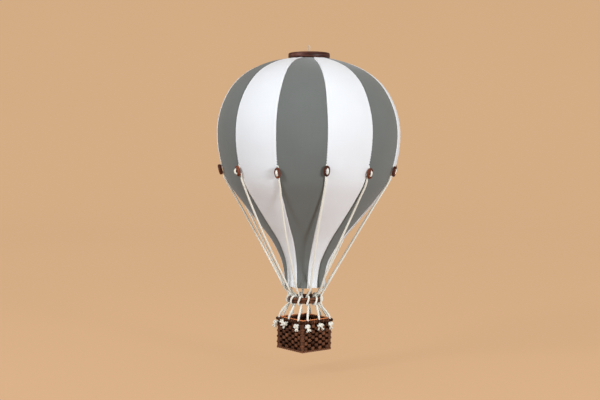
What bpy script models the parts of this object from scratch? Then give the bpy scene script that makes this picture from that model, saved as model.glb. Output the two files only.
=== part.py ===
"""A decorative hot air balloon that hangs from a thread: a striped cloth envelope of
twelve gores under a turned wooden disc, with twelve cotton ropes that run from wooden
toggles on the seams, round a cane hoop, to a square wicker basket.

Metres, +Z up. The origin is under the crown of the hanging loop, on the envelope's axis,
so the whole object hangs below it. Depths are measured down from the disc's top face.
Seams lie at multiples of 30 degrees from +X, and the basket's sides face X and Y.
"""
import math

import bmesh
import bpy
from mathutils import Vector

MM = 0.001
GAP = 0.3 * MM

# Overall places
GORES = 12
SEAM_STEP = 2 * math.pi / GORES
LOOP_HEIGHT = 12.0 * MM
TOP_Z = -LOOP_HEIGHT

# How far the axis stands to one side, in depth and distance: the cloth bulges a little
# that way at the shoulder, and the neck, hoop and basket hang off the disc's axis
LEAN_DIRECTION = Vector((-0.656, -0.755, 0))
LEAN = [
    (9.5, 0.0),
    (14.0, 4.2),
    (33.0, 3.6),
    (55.0, 2.5),
    (90.0, 1.8),
    (139.0, 0.8),
    (175.0, 0.6),
    (250.0, 0.6),
    (316.0, 3.0),
    (350.0, 5.2),
    (396.0, 7.4),
    (430.0, 7.7),
]

# Envelope: depth and outer radius down the cloth, from under the disc to the hem
ENVELOPE_PROFILE = [
    (9.7, 18.0),
    (10.2, 36.0),
    (12.4, 49.0),
    (15.6, 62.3),
    (22.0, 80.9),
    (33.6, 103.1),
    (55.3, 126.9),
    (88.9, 145.6),
    (122.6, 153.7),
    (139.5, 154.4),
    (173.3, 150.7),
    (215.5, 137.3),
    (248.4, 114.0),
    (282.4, 86.7),
    (316.4, 59.7),
    (333.4, 49.0),
    (349.4, 40.6),
    (366.4, 35.8),
    (395.0, 32.8),
]
WALL = 3.0 * MM
GORE_COLUMNS = 4
GORE_ROWS = 16

# How far the seams turn round the axis, in depth and degrees
TWIST = [
    (20.0, 1.6),
    (90.0, 0.1),
    (165.0, -0.6),
    (250.0, -1.5),
    (320.0, -2.9),
    (395.0, -4.6),
]

# Top disc and its hanging loop
DISC_RADIUS = 34.9 * MM
DISC_THICKNESS = 9.3 * MM
DISC_EDGE = 2.2 * MM
DISC_BORE = 1.9 * MM
LOOP_THREAD = 0.5 * MM
LOOP_HALF_WIDTH = 2.2 * MM
LEG_SPACING = 1.0 * MM
LEG_DEPTH = 6.0 * MM

# Toggles: upright oval rings, one on each seam, each tied on a little higher or lower
TOGGLE_DEPTH = 199 * MM
TOGGLE_SHIFTS = [2.6, 0.0, -1.0, 0.8, -0.6, 1.2, 0.0, -1.2, -2.3, -0.9, 2.0, -1.1]
TOGGLE_STAND_OFF = 6.8 * MM
TOGGLE_TURN = math.radians(-0.6)
TOGGLE_TILT = math.radians(14)
TOGGLE_HEIGHT = 17.6 * MM
TOGGLE_WIDTH = 10.0 * MM
TOGGLE_THICKNESS = 5.2 * MM
TOGGLE_WALL = 2.86 * MM

# Ropes
ROPE_RADIUS = 1.6 * MM
ROPE_TO_CLOTH = 0.55 * MM
ROPE_CLEARANCE = 0.35 * MM
HOLE_CLEARANCE = 0.35 * MM
ROPE_SLANT = math.radians(32)

# The rope at its toggle: it leaves the seam above the ring, passes behind the ring's bar,
# comes out through the hole in a bow and goes back in. Places above the ring's centre and
# out from it, then how far each bow's crown stands out in front of the ring's middle
BEHIND_BAR = [(10.2, -4.4), (9.0, -4.4), (7.4, -4.4)]
INTO_HOLE = [(5.3, -3.95), (3.8, -2.3), (3.25, 0.0)]
SQUEEZE = 0.8
BOW_SIDES = [(3.0, 0.45), (1.9, 0.83)]
BOWS = [6.0, 4.1, 5.2, 4.6, 5.5, 4.8, 5.3, 4.4, 3.9, 7.0, 5.0, 5.2]

# Hoop of two canes lying one on the other
HOOP_DEPTH = 415.2 * MM
HOOP_OUTER_RADIUS = 27.8 * MM
CANE_RADIUS = 2.7 * MM
CANE_SPACING = 4.9 * MM

# Basket
RIM_DEPTH = 447 * MM
RIM_HALF = 35.3 * MM
RIM_WIDTH = 7.0 * MM
RIM_HEIGHT = 5.3 * MM
BASKET_BOTTOM = 500 * MM
WALL_HALF = 32.3 * MM
WALL_THICKNESS = 3.0 * MM
POST_RADIUS = 2.9 * MM
POST_CENTRE = 30.2 * MM
BASE_HALF = 33.0 * MM
BASE_HEIGHT = 3.4 * MM
FLOOR_THICKNESS = 3.0 * MM
FLOOR_HALF = 27.6 * MM

# The basket's sides in turn, each with the places along it where three ropes meet the rim
BASKET_SIDES = [
    ((1, 0), (-21, 4.5, 28.5)),
    ((0, 1), (-21, 0, 21)),
    ((-1, 0), (-21, 0, 21)),
    ((0, -1), (-28.5, -3.5, 21)),
]
ROPE_AT_RIM_TOP = 32.2 * MM
ROPE_AT_RIM_BOTTOM = 33.0 * MM
KNOT_OUT = 37.1 * MM
KNOT_RADIUS = 3.7 * MM

# How far each knot hangs to one side of its rope's place on the rim
KNOT_SHIFTS = [-1.0, -2.8, 0.0, 1.0, -1.0, 0.0, 1.0, 0.0, -2.3, -5.7, 1.3, -5.0]

# Colours as red, green and blue, then roughness
FINISHES = {
    "grey_cloth": ((0.150, 0.157, 0.143), 0.9),
    "white_cloth": ((0.80, 0.81, 0.83), 0.9),
    "disc_wood": ((0.085, 0.032, 0.022), 0.45),
    "toggle_wood": ((0.16, 0.045, 0.020), 0.45),
    "cotton_rope": ((0.77, 0.73, 0.61), 0.9),
    "hanging_thread": ((0.78, 0.76, 0.70), 0.8),
    "hoop_cane": ((0.15, 0.05, 0.022), 0.5),
    "wicker": ((0.065, 0.026, 0.015), 0.55),
}


def clear_scene():
    for thing in list(bpy.data.objects):
        bpy.data.objects.remove(thing, do_unlink=True)


def make_materials():
    made = {}
    for name, (colour, roughness) in FINISHES.items():
        material = bpy.data.materials.new(name)
        material.use_nodes = True
        shader = material.node_tree.nodes["Principled BSDF"]
        shader.inputs["Base Color"].default_value = (*colour, 1)
        shader.inputs["Roughness"].default_value = roughness
        shader.inputs["Metallic"].default_value = 0.0
        made[name] = material
    return made


def add_object(name, data, material):
    piece = bpy.data.objects.new(name, data)
    bpy.context.scene.collection.objects.link(piece)
    data.materials.append(material)
    return piece


def finish_mesh(bm, name, material, sharp=math.radians(40)):
    """Turns a bmesh into an object whose faces point outwards."""
    bmesh.ops.recalc_face_normals(bm, faces=bm.faces)
    mesh = bpy.data.meshes.new(name)
    bm.to_mesh(mesh)
    bm.free()
    mesh.shade_smooth()
    mesh.set_sharp_from_angle(angle=sharp)
    return add_object(name, mesh, material)


def closed_grid(rows, wrap_rows, wrap_columns):
    """A bmesh of quads over rows of points; either way round may close on itself."""
    bm = bmesh.new()
    verts = [[bm.verts.new(point) for point in row] for row in rows]
    row_count = len(rows) if wrap_rows else len(rows) - 1
    column_count = len(rows[0]) if wrap_columns else len(rows[0]) - 1
    for i in range(row_count):
        below = (i + 1) % len(rows)
        for j in range(column_count):
            right = (j + 1) % len(rows[0])
            bm.faces.new((verts[i][j], verts[i][right], verts[below][right], verts[below][j]))
    return bm


def value_at(table, depth):
    """A table's value at a depth, level past both ends."""
    depths = [d * MM for d, _ in table]
    if depth >= depths[-1]:
        return table[-1][1]
    if depth <= depths[0]:
        return table[0][1]
    i = max(k for k, d in enumerate(depths) if d <= depth)
    t = (depth - depths[i]) / (depths[i + 1] - depths[i])
    return table[i][1] + (table[i + 1][1] - table[i][1]) * t


def lean_at(depth):
    """How far the axis has moved sideways at a depth."""
    return LEAN_DIRECTION.normalized() * value_at(LEAN, depth) * MM


def profile_point(t):
    """Depth and radius at parameter t along the profile, by a Catmull-Rom curve."""
    last = len(ENVELOPE_PROFILE) - 1
    i = min(int(t), last - 1)
    u = t - i
    p1 = Vector(ENVELOPE_PROFILE[i])
    p2 = Vector(ENVELOPE_PROFILE[i + 1])
    p0 = Vector(ENVELOPE_PROFILE[i - 1]) if i > 0 else 2 * p1 - p2
    p3 = Vector(ENVELOPE_PROFILE[i + 2]) if i + 2 <= last else 2 * p2 - p1
    slope_1 = centred_slope(p0, p1, p2)
    slope_2 = centred_slope(p1, p2, p3)
    span = (p2 - p1).length
    h00 = 2 * u**3 - 3 * u**2 + 1
    h10 = u**3 - 2 * u**2 + u
    h01 = -2 * u**3 + 3 * u**2
    h11 = u**3 - u**2
    return (h00 * p1 + h10 * span * slope_1 + h01 * p2 + h11 * span * slope_2) * MM


def centred_slope(before, here, after):
    """The curve's direction at a profile point, by chord lengths."""
    first = here - before
    second = after - here
    a = first.length
    b = second.length
    return (first / a * b + second / b * a) / (a + b)


def profile_samples(count):
    """Points at even steps down the cloth, each with its outward normal, in depth and radius."""
    fine = [profile_point(i / 20) for i in range(20 * (len(ENVELOPE_PROFILE) - 1) + 1)]
    lengths = [0.0]
    for a, b in zip(fine, fine[1:]):
        lengths.append(lengths[-1] + (b - a).length)
    samples = []
    k = 0
    for i in range(count + 1):
        target = lengths[-1] * i / count
        while k < len(fine) - 2 and lengths[k + 1] < target:
            k += 1
        share = (target - lengths[k]) / (lengths[k + 1] - lengths[k])
        point = fine[k].lerp(fine[k + 1], share)
        along = (fine[min(k + 2, len(fine) - 1)] - fine[max(k - 1, 0)]).normalized()
        samples.append((point, Vector((-along.y, along.x))))
    return samples


def cloth_at(depth):
    """The cloth's outer point and outward normal at a depth below its widest part."""
    low = 8.0
    high = len(ENVELOPE_PROFILE) - 1.0
    for _ in range(40):
        middle = (low + high) / 2
        if profile_point(middle).x < depth:
            low = middle
        else:
            high = middle
    step = 0.02
    ahead = profile_point(min(low + step, len(ENVELOPE_PROFILE) - 1.0))
    along = (ahead - profile_point(low - step)).normalized()
    return profile_point(low), Vector((-along.y, along.x))


def place(depth, radius, angle, sideways=0.0, axis_depth=None):
    """A point at a depth, a radius and an angle round the leaning axis."""
    outward = Vector((math.cos(angle), math.sin(angle), 0))
    across = Vector((-math.sin(angle), math.cos(angle), 0))
    lean = lean_at(depth if axis_depth is None else axis_depth)
    point = outward * radius + across * sideways + lean
    point.z = TOP_Z - depth
    return point


def make_gore(index, material):
    """One cloth panel between two seams, as a closed curved wall."""
    samples = profile_samples(GORE_ROWS)
    outer = []
    inner = []
    for point, normal in samples:
        inside = point - normal * WALL
        for row, spot in ((outer, point), (inner, inside)):
            edge = GAP / 2 / spot.y
            twist = math.radians(value_at(TWIST, point.x))
            start = index * SEAM_STEP + twist + edge
            width = SEAM_STEP - 2 * edge
            angles = [start + width * j / GORE_COLUMNS for j in range(GORE_COLUMNS + 1)]
            row.append([place(*spot, angle, axis_depth=point.x) for angle in angles])
    rings = [row_out + row_in[::-1] for row_out, row_in in zip(outer, inner)]
    bm = closed_grid(rings, False, True)
    bm.verts.ensure_lookup_table()
    across = len(rings[0])
    for first in (0, (len(rings) - 1) * across):
        for j in range(GORE_COLUMNS):
            corners = (first + j, first + j + 1, first + across - 2 - j, first + across - 1 - j)
            bm.faces.new([bm.verts[c] for c in corners])
    colour = "white" if index % 2 else "grey"
    return finish_mesh(bm, f"envelope_gore_{colour}_{index + 1:02d}", material)


def turned(name, profile, centre, steps, material):
    """A ring: a closed profile of radius and height, turned about an upright axis."""
    rows = []
    for i in range(steps):
        angle = 2 * math.pi * i / steps
        outward = Vector((math.cos(angle), math.sin(angle), 0))
        rows.append([centre + outward * r + Vector((0, 0, z)) for r, z in profile])
    return finish_mesh(closed_grid(rows, True, True), name, material)


def make_disc(material):
    """The turned disc, with rounded edges and a bore for the hanging loop."""
    profile = [(DISC_BORE, -DISC_THICKNESS), (DISC_BORE, 0.0)]
    for i in range(5):
        turn = math.pi / 2 * i / 4
        radius = DISC_RADIUS - DISC_EDGE + DISC_EDGE * math.sin(turn)
        profile.append((radius, -DISC_EDGE + DISC_EDGE * math.cos(turn)))
    profile.append((DISC_RADIUS, -DISC_THICKNESS + DISC_EDGE / 2))
    profile.append((DISC_RADIUS - DISC_EDGE / 2, -DISC_THICKNESS))
    return turned("top_disc", profile, Vector((0, 0, TOP_Z)), 48, material)


def tube(name, points, radii, material):
    """A round tube along points, with its own radius at each, as a bevelled curve."""
    curve = bpy.data.curves.new(name, "CURVE")
    curve.dimensions = "3D"
    curve.bevel_depth = ROPE_RADIUS
    curve.bevel_resolution = 2
    curve.use_fill_caps = True
    spline = curve.splines.new("POLY")
    spline.points.add(len(points) - 1)
    for spot, point, radius in zip(spline.points, points, radii):
        spot.co = (*point, 1)
        spot.radius = radius / ROPE_RADIUS
    return add_object(name, curve, material)


def make_loop(material):
    """The thread loop: two legs in the disc's bore and a narrow eye above it."""
    crown = LOOP_THREAD
    right = [
        (LEG_SPACING, TOP_Z - LEG_DEPTH),
        (LEG_SPACING, TOP_Z),
        (LEG_SPACING * 1.1, TOP_Z + 0.2 * LOOP_HEIGHT),
        (LOOP_HALF_WIDTH * 0.85, TOP_Z + 0.5 * LOOP_HEIGHT),
        (LOOP_HALF_WIDTH, crown - LOOP_HALF_WIDTH * 1.3),
        (LOOP_HALF_WIDTH * 0.8, crown - LOOP_HALF_WIDTH * 0.5),
        (LOOP_HALF_WIDTH * 0.4, crown - LOOP_HALF_WIDTH * 0.1),
    ]
    points = [Vector((x, 0, z)) for x, z in right]
    points.append(Vector((0, 0, crown)))
    points += [Vector((-x, 0, z)) for x, z in reversed(right)]
    return tube("hanging_loop", points, [LOOP_THREAD] * len(points), material)


def toggle_frame(index):
    """A toggle's centre, its outward direction and its upward direction."""
    angle = index * SEAM_STEP + TOGGLE_TURN
    depth = TOGGLE_DEPTH + TOGGLE_SHIFTS[index] * MM
    cloth, _ = cloth_at(depth)
    centre = place(depth, cloth.y + TOGGLE_STAND_OFF, angle)
    outward = Vector((math.cos(angle), math.sin(angle), 0))
    up = Vector((0, 0, 1))
    facing = outward * math.cos(TOGGLE_TILT) - up * math.sin(TOGGLE_TILT)
    rising = outward * math.sin(TOGGLE_TILT) + up * math.cos(TOGGLE_TILT)
    return centre, facing, rising


def make_toggle(index, material):
    """An oval ring: an oval section carried round an upright oval."""
    centre, facing, rising = toggle_frame(index)
    sideways = facing.cross(rising)
    half_up = (TOGGLE_HEIGHT - TOGGLE_WALL) / 2
    half_across = (TOGGLE_WIDTH - TOGGLE_WALL) / 2
    rows = []
    for i in range(16):
        turn = 2 * math.pi * i / 16
        outwards = (sideways * math.cos(turn) * half_up + rising * math.sin(turn) * half_across)
        outwards.normalize()
        middle = centre + sideways * half_across * math.cos(turn) + rising * half_up * math.sin(turn)
        row = []
        for j in range(6):
            section = 2 * math.pi * (j + 0.5) / 6
            across = outwards * TOGGLE_WALL / 2 * math.cos(section)
            row.append(middle + across + facing * TOGGLE_THICKNESS / 2 * math.sin(section))
        rows.append(row)
    bm = closed_grid(rows, True, True)
    return finish_mesh(bm, f"seam_toggle_{index + 1:02d}", material)


def rim_seat(index):
    """The outward direction of a rope's side of the basket, and its place along that side."""
    side, order = divmod(index + 1, 3)
    (nx, ny), places = BASKET_SIDES[side % 4]
    return Vector((nx, ny, 0)), Vector((-ny, nx, 0)) * places[order] * MM


def taut_cloth_depth(hem_depth, hem_radius, offset):
    """Where a taut rope from the hem first touches the cloth above it."""
    best_depth = TOGGLE_DEPTH
    best_slope = 0.0
    depth = TOGGLE_DEPTH + TOGGLE_HEIGHT
    while depth < 330 * MM:
        cloth, normal = cloth_at(depth)
        spot = cloth + normal * offset
        slope = (spot.y - hem_radius) / (hem_depth - spot.x)
        if slope > best_slope:
            best_slope = slope
            best_depth = depth
        depth += 1 * MM
    return best_depth


def rope_route(index):
    """Points and radii of one rope, from its toggle to the frayed end of its knot."""
    angle = index * SEAM_STEP
    points = []
    radii = []

    def add(point, radius=ROPE_RADIUS):
        points.append(point)
        radii.append(radius)

    centre, facing, rising = toggle_frame(index)
    for up, out in BEHIND_BAR:
        add(centre + rising * up * MM + facing * out * MM, SQUEEZE * ROPE_RADIUS)
    half = INTO_HOLE + [(up, BOWS[index] * share) for up, share in BOW_SIDES]
    back_in = [(-up, out) for up, out in reversed([BEHIND_BAR[-1], *half])]
    for up, out in [*half, (0.0, BOWS[index]), *back_in]:
        add(centre + rising * up * MM + facing * out * MM)

    offset = ROPE_RADIUS + ROPE_TO_CLOTH
    hem_depth = ENVELOPE_PROFILE[-1][0] * MM + offset * math.sin(ROPE_SLANT)
    hem_radius = ENVELOPE_PROFILE[-1][1] * MM + offset * math.cos(ROPE_SLANT)
    leaves = taut_cloth_depth(hem_depth, hem_radius, offset)
    first = TOGGLE_DEPTH + TOGGLE_SHIFTS[index] * MM + 0.6 * TOGGLE_HEIGHT
    for i in range(5):
        cloth, normal = cloth_at(first + (leaves - first) * i / 4)
        spot = cloth + normal * offset
        add(place(spot.x, spot.y, angle + TOGGLE_TURN * (1 - i / 4)))
    add(place(hem_depth, hem_radius, angle))

    beside = CANE_RADIUS + ROPE_RADIUS + ROPE_CLEARANCE
    corner = beside * math.tan(math.pi / 8)
    over = CANE_SPACING / 2 + beside
    level = CANE_SPACING / 2 + corner
    middle = HOOP_OUTER_RADIUS - CANE_RADIUS
    turn = [
        (-beside, level, -2.0),
        (-beside, -level, -2.0),
        (-corner, -over, -1.95),
        (corner, -over, -1.8),
        (beside, -level, -1.3),
        (beside, level, 1.3),
        (corner, over, 1.8),
        (-corner, over, 1.95),
        (-beside, level, 2.0),
        (-beside, -level, 2.0),
    ]
    for out, up, sideways in turn:
        add(place(HOOP_DEPTH - up, middle + out, angle, sideways * MM))

    outward, along = rim_seat(index)
    lean = lean_at(RIM_DEPTH)
    sideways = Vector((-outward.y, outward.x, 0)) * KNOT_SHIFTS[index] * MM
    below = [
        (ROPE_AT_RIM_TOP, 0.0, 0.0, ROPE_RADIUS),
        (ROPE_AT_RIM_BOTTOM, RIM_HEIGHT, 0.0, ROPE_RADIUS),
        (KNOT_OUT - 2.2 * MM, RIM_HEIGHT + 2.1 * MM, 0.35, ROPE_RADIUS),
        (KNOT_OUT - 0.4 * MM, RIM_HEIGHT + 3.7 * MM, 0.8, 0.85 * KNOT_RADIUS),
        (KNOT_OUT, RIM_HEIGHT + 5.4 * MM, 1.0, KNOT_RADIUS),
        (KNOT_OUT, RIM_HEIGHT + 7.3 * MM, 1.0, 0.8 * KNOT_RADIUS),
        (KNOT_OUT, RIM_HEIGHT + 8.9 * MM, 1.0, ROPE_RADIUS),
        (KNOT_OUT + 0.3 * MM, RIM_HEIGHT + 12.4 * MM, 1.0, 1.4 * ROPE_RADIUS),
    ]
    for out, down, share, radius in below:
        point = outward * out + along + sideways * share + lean
        point.z = TOP_Z - RIM_DEPTH - down
        add(point, radius)
    return points, radii


def make_rope_cutters():
    """Twelve short tubes round the ropes where they pass the rim, as one cutter."""
    curve = bpy.data.curves.new("rope_passages", "CURVE")
    curve.dimensions = "3D"
    curve.bevel_depth = ROPE_RADIUS + HOLE_CLEARANCE
    curve.bevel_resolution = 2
    curve.use_fill_caps = True
    for index in range(GORES):
        points, _ = rope_route(index)
        top, bottom, out = points[-8], points[-7], points[-6]
        arriving = (points[-9] - top).normalized()
        chain = [top + arriving * 4 * MM, top, bottom, out]
        spline = curve.splines.new("POLY")
        spline.points.add(len(chain) - 1)
        for spot, point in zip(spline.points, chain):
            spot.co = (*point, 1)
    guide = bpy.data.objects.new("rope_passages", curve)
    bpy.context.scene.collection.objects.link(guide)
    mesh = bpy.data.meshes.new_from_object(guide)
    bpy.data.objects.remove(guide, do_unlink=True)
    cutter = bpy.data.objects.new("rope_passages", mesh)
    bpy.context.scene.collection.objects.link(cutter)
    cutter.hide_render = True
    cutter.display_type = "WIRE"
    return cutter


def cut(piece, cutter):
    modifier = piece.modifiers.new("rope passages", "BOOLEAN")
    modifier.operation = "DIFFERENCE"
    modifier.object = cutter
    modifier.use_self = False


def make_hoop(material):
    """Two round canes, one on the other, as one ring with a groove between them."""
    middle = HOOP_OUTER_RADIUS - CANE_RADIUS
    half = CANE_SPACING / 2
    waist = math.acos(half / CANE_RADIUS)
    profile = []
    for sign in (1, -1):
        for i in range(6):
            turn = -math.pi / 2 + waist + (2 * math.pi - 2 * waist) * i / 6
            profile.append((sign * CANE_RADIUS * math.cos(turn), sign * (half + CANE_RADIUS * math.sin(turn))))
    centre = lean_at(HOOP_DEPTH) + Vector((0, 0, TOP_Z - HOOP_DEPTH))
    return turned("cane_hoop", [(middle + r, z) for r, z in profile], centre, 40, material)


def square_ring(name, outer, inner, top, height, material, bevel=0.0):
    """A square frame with its top at a depth, round the leaning axis."""
    centre = lean_at(RIM_DEPTH)
    rows = []
    for sx, sy in ((1, 1), (-1, 1), (-1, -1), (1, -1)):
        row = []
        for half, depth in (
            (inner, top + height),
            (inner, top),
            (outer - bevel, top),
            (outer, top + bevel),
            (outer, top + height),
        ):
            row.append(centre + Vector((sx * half, sy * half, TOP_Z - depth)))
        rows.append(row)
    return finish_mesh(closed_grid(rows, True, True), name, material)


def box(name, centre, half_x, half_y, top, bottom, material):
    """An upright box between two depths."""
    bm = bmesh.new()
    bmesh.ops.create_cube(bm, size=2)
    height = bottom - top
    for vert in bm.verts:
        vert.co.x = vert.co.x * half_x + centre.x
        vert.co.y = vert.co.y * half_y + centre.y
        vert.co.z = TOP_Z - top - height / 2 + vert.co.z * height / 2
    return finish_mesh(bm, name, material)


def make_basket(material, cutter):
    """Rim, four woven walls, four corner posts, floor and base border."""
    lean = lean_at(RIM_DEPTH)
    rim = square_ring(
        "basket_rim", RIM_HALF, RIM_HALF - RIM_WIDTH, RIM_DEPTH, RIM_HEIGHT, material, 1.2 * MM
    )
    cut(rim, cutter)
    top = RIM_DEPTH + RIM_HEIGHT + GAP
    bottom = BASKET_BOTTOM - BASE_HEIGHT - GAP
    wall_middle = WALL_HALF - WALL_THICKNESS / 2
    wall_reach = POST_CENTRE - POST_RADIUS - GAP
    for number, ((nx, ny), _) in enumerate(BASKET_SIDES, 1):
        centre = lean + Vector((nx, ny, 0)) * wall_middle
        half_x = WALL_THICKNESS / 2 if nx else wall_reach
        half_y = WALL_THICKNESS / 2 if ny else wall_reach
        cut(box(f"basket_wall_{number}", centre, half_x, half_y, top, bottom, material), cutter)
    for number, (sx, sy) in enumerate(((1, 1), (-1, 1), (-1, -1), (1, -1)), 1):
        bm = bmesh.new()
        bmesh.ops.create_cone(
            bm,
            cap_ends=True,
            segments=16,
            radius1=POST_RADIUS,
            radius2=POST_RADIUS,
            depth=bottom - top,
        )
        middle = lean + Vector((sx * POST_CENTRE, sy * POST_CENTRE, TOP_Z - (top + bottom) / 2))
        bmesh.ops.translate(bm, verts=bm.verts, vec=middle)
        cut(finish_mesh(bm, f"basket_corner_post_{number}", material), cutter)
    square_ring(
        "basket_base_border", BASE_HALF, BASE_HALF - RIM_WIDTH, BASKET_BOTTOM - BASE_HEIGHT,
        BASE_HEIGHT, material, 0.8 * MM,
    )
    box("basket_floor", lean, FLOOR_HALF, FLOOR_HALF, bottom - FLOOR_THICKNESS, bottom, material)


def main():
    clear_scene()
    finish = make_materials()
    for index in range(GORES):
        make_gore(index, finish["white_cloth" if index % 2 else "grey_cloth"])
    make_disc(finish["disc_wood"])
    make_loop(finish["hanging_thread"])
    for index in range(GORES):
        make_toggle(index, finish["toggle_wood"])
        points, radii = rope_route(index)
        tube(f"rope_{index + 1:02d}", points, radii, finish["cotton_rope"])
    make_hoop(finish["hoop_cane"])
    make_basket(finish["wicker"], make_rope_cutters())


main()
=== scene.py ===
"""The looks of a decorative hot air balloon that hangs by a loop of thread, built over the
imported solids.

Shapes are worked out in millimetres: depth is measured down from the top disc's upper face,
radius from an axis that leans a little to one side, and angle from +X. A piece's mesh is made
in metres, round an origin under the crown of the hanging loop.
"""
import math

import bpy
import numpy as np
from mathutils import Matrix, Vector


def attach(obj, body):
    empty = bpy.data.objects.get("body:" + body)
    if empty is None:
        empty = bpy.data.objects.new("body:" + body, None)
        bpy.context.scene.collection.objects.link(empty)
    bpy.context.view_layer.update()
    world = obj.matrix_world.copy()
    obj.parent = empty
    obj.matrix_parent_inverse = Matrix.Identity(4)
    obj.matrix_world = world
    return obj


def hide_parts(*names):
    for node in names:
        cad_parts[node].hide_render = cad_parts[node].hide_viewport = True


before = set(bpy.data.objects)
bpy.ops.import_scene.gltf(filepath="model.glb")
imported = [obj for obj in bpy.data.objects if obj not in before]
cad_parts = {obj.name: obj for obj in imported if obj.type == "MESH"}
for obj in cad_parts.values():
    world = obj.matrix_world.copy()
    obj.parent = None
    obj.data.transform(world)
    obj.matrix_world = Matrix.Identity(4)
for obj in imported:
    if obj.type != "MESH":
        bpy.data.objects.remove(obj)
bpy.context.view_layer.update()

MM = 0.001
TURN = 2 * math.pi

# Sizes and places in millimetres, as in the part apart from small shifts that only show here
GORES = 12
SEAM_STEP = TURN / GORES
TOP_Z = -12.0
LEAN = np.array([
    (9.5, 0.0), (14.0, 4.2), (33.0, 3.6), (55.0, 2.5), (90.0, 1.8), (139.0, 0.8),
    (175.0, 0.6), (250.0, 0.6), (316.0, 3.1), (350.0, 5.6), (396.0, 7.4), (430.0, 7.7),
])
ENVELOPE_PROFILE = [
    (9.7, 18.0), (10.2, 36.0), (12.4, 49.0), (15.6, 62.3), (22.0, 80.9), (33.6, 103.1),
    (55.3, 126.9), (88.9, 145.6), (122.6, 153.7), (139.5, 154.4), (173.3, 150.7),
    (215.5, 137.3), (248.4, 114.0), (282.4, 86.7), (316.4, 59.7), (333.4, 49.5),
    (349.4, 41.5), (366.4, 36.5), (395.0, 32.8),
]
TWIST = np.array([
    (20.0, 1.6), (90.0, 0.1), (165.0, -0.6), (250.0, -1.5), (320.0, -2.9), (395.0, -4.6),
])
SEAM_SHIFTS = [0.3, 1.5, 0.4, 0, 0, 0, 0, -0.4, -1.8, -0.3, -0.3, 0.1]
NECK_SHIFTS = [0, 2, 1, 0, 0, 0, 0, -1, -3, -6, 0, 0]
DISC_RADIUS = 34.9
DISC_THICKNESS = 9.3
DISC_BORE = 1.9
TOGGLE_DEPTH = 197.4
TOGGLE_SHIFTS = [2.9, 0.8, -1.0, 0.8, -0.6, 1.2, 0.0, -1.2, -2.4, -0.8, 1.6, -1.5]
TOGGLE_STAND_OFF = 4.4
TOGGLE_FACINGS = [4, 3, -4, 6, 2, -5, 3, -3, 4, -20, -8, 11]
TOGGLE_TURN = math.radians(-0.6)
TOGGLE_TILT = math.radians(14)
TOGGLE_HEIGHT = 17.6
TOGGLE_WIDTH = 10.0
TOGGLE_THICKNESS = 5.2
TOGGLE_WALL = 2.86
ROPE_RADIUS = 1.75
ROPE_TO_CLOTH = 0.05
ROPE_SLANT = math.radians(32)
BOWS = [3.3, 2.0, 3.4, 3.8, 3.0, 3.7, 3.3, 3.6, 0.6, 5.2, 3.8, 4.0]
HOOP_DEPTH = 415.2
HOOP_MIDDLE = 25.1
CANE_RADIUS = 2.7
CANE_SPACING = 4.9
RIM_DEPTH = 447.0
RIM_HEIGHT = 5.3
BASKET_BOTTOM = 500.0
BASE_HEIGHT = 3.4
POST_CENTRE = 30.2
POST_RADIUS = 2.9
BASKET_TILT = math.radians(1.2)
SIDES = [(1, 0), (0, 1), (-1, 0), (0, -1)]
RIM_PLACES = [(-21, 4.5, 28.5), (-21, -6, 21), (-21, 0, 21), (-28.5, -3.5, 21)]

# Directions: up, and on the ground the camera's own right and the way toward it
UP = np.array([0.0, 0.0, 1.0])
CAMERA_RIGHT = (0.656, 0.755)
TOWARD_CAMERA = (0.755, -0.656)


def add_camera():
    """The camera at the photograph's angle, looking a little down at the balloon."""
    distance = 1.75
    aside = 0.0153
    height = -0.1794
    pitch = math.radians(2.615)
    toward = Vector((*TOWARD_CAMERA, 0))
    data = bpy.data.cameras.new("camera")
    data.lens = 62.13
    camera = bpy.data.objects.new("camera", data)
    bpy.context.scene.collection.objects.link(camera)
    camera.location = toward * distance - Vector((*CAMERA_RIGHT, 0)) * aside + Vector((0, 0, height))
    look = -toward - Vector((0, 0, math.tan(pitch)))
    camera.rotation_euler = look.to_track_quat("-Z", "Y").to_euler()
    bpy.context.scene.camera = camera


add_camera()


# Curves and places

def unit(vectors):
    """Vectors at length one."""
    return vectors / np.linalg.norm(vectors, axis=-1, keepdims=True)


def stacked(*columns):
    """Points from their coordinates, each a number or an array."""
    return np.stack(np.broadcast_arrays(*columns), axis=-1)


def curve_through(points, per_span):
    """A smooth curve through points: on each span a cubic, whose slope at a point is the mean
    of the two chords' directions there, each weighted by the other chord's length."""
    points = np.asarray(points, float)
    chord = np.diff(points, axis=0)
    span = np.linalg.norm(chord, axis=1)[:, None]
    way = chord / span
    slope = np.concatenate([way[:1], way])
    slope[1:-1] = (way[:-1] * span[1:] + way[1:] * span[:-1]) / (span[1:] + span[:-1])
    u = (np.arange(per_span) / per_span)[None, :, None]
    spans = (
        (2 * u**3 - 3 * u**2 + 1) * points[:-1, None]
        + (u**3 - 2 * u**2 + u) * (slope[:-1] * span)[:, None]
        + (3 * u**2 - 2 * u**3) * points[1:, None]
        + (u**3 - u**2) * (slope[1:] * span)[:, None]
    )
    return np.vstack([spans.reshape(-1, points.shape[1]), points[-1:]])


def run_along(path):
    """How far along a path each of its points is."""
    steps = np.linalg.norm(np.diff(path, axis=0), axis=1)
    return np.concatenate([[0.0], np.cumsum(steps)])


def evenly(path, count):
    """The same path as count points at even steps."""
    run = run_along(path)
    at = np.linspace(0, run[-1], count)
    return stacked(*[np.interp(at, run, column) for column in path.T])


CLOTH = evenly(curve_through(ENVELOPE_PROFILE, 24), 1601)
CLOTH_RUN = run_along(CLOTH)
CLOTH_LENGTH = CLOTH_RUN[-1]
CLOTH_ALONG = unit(np.gradient(CLOTH, axis=0))


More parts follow.
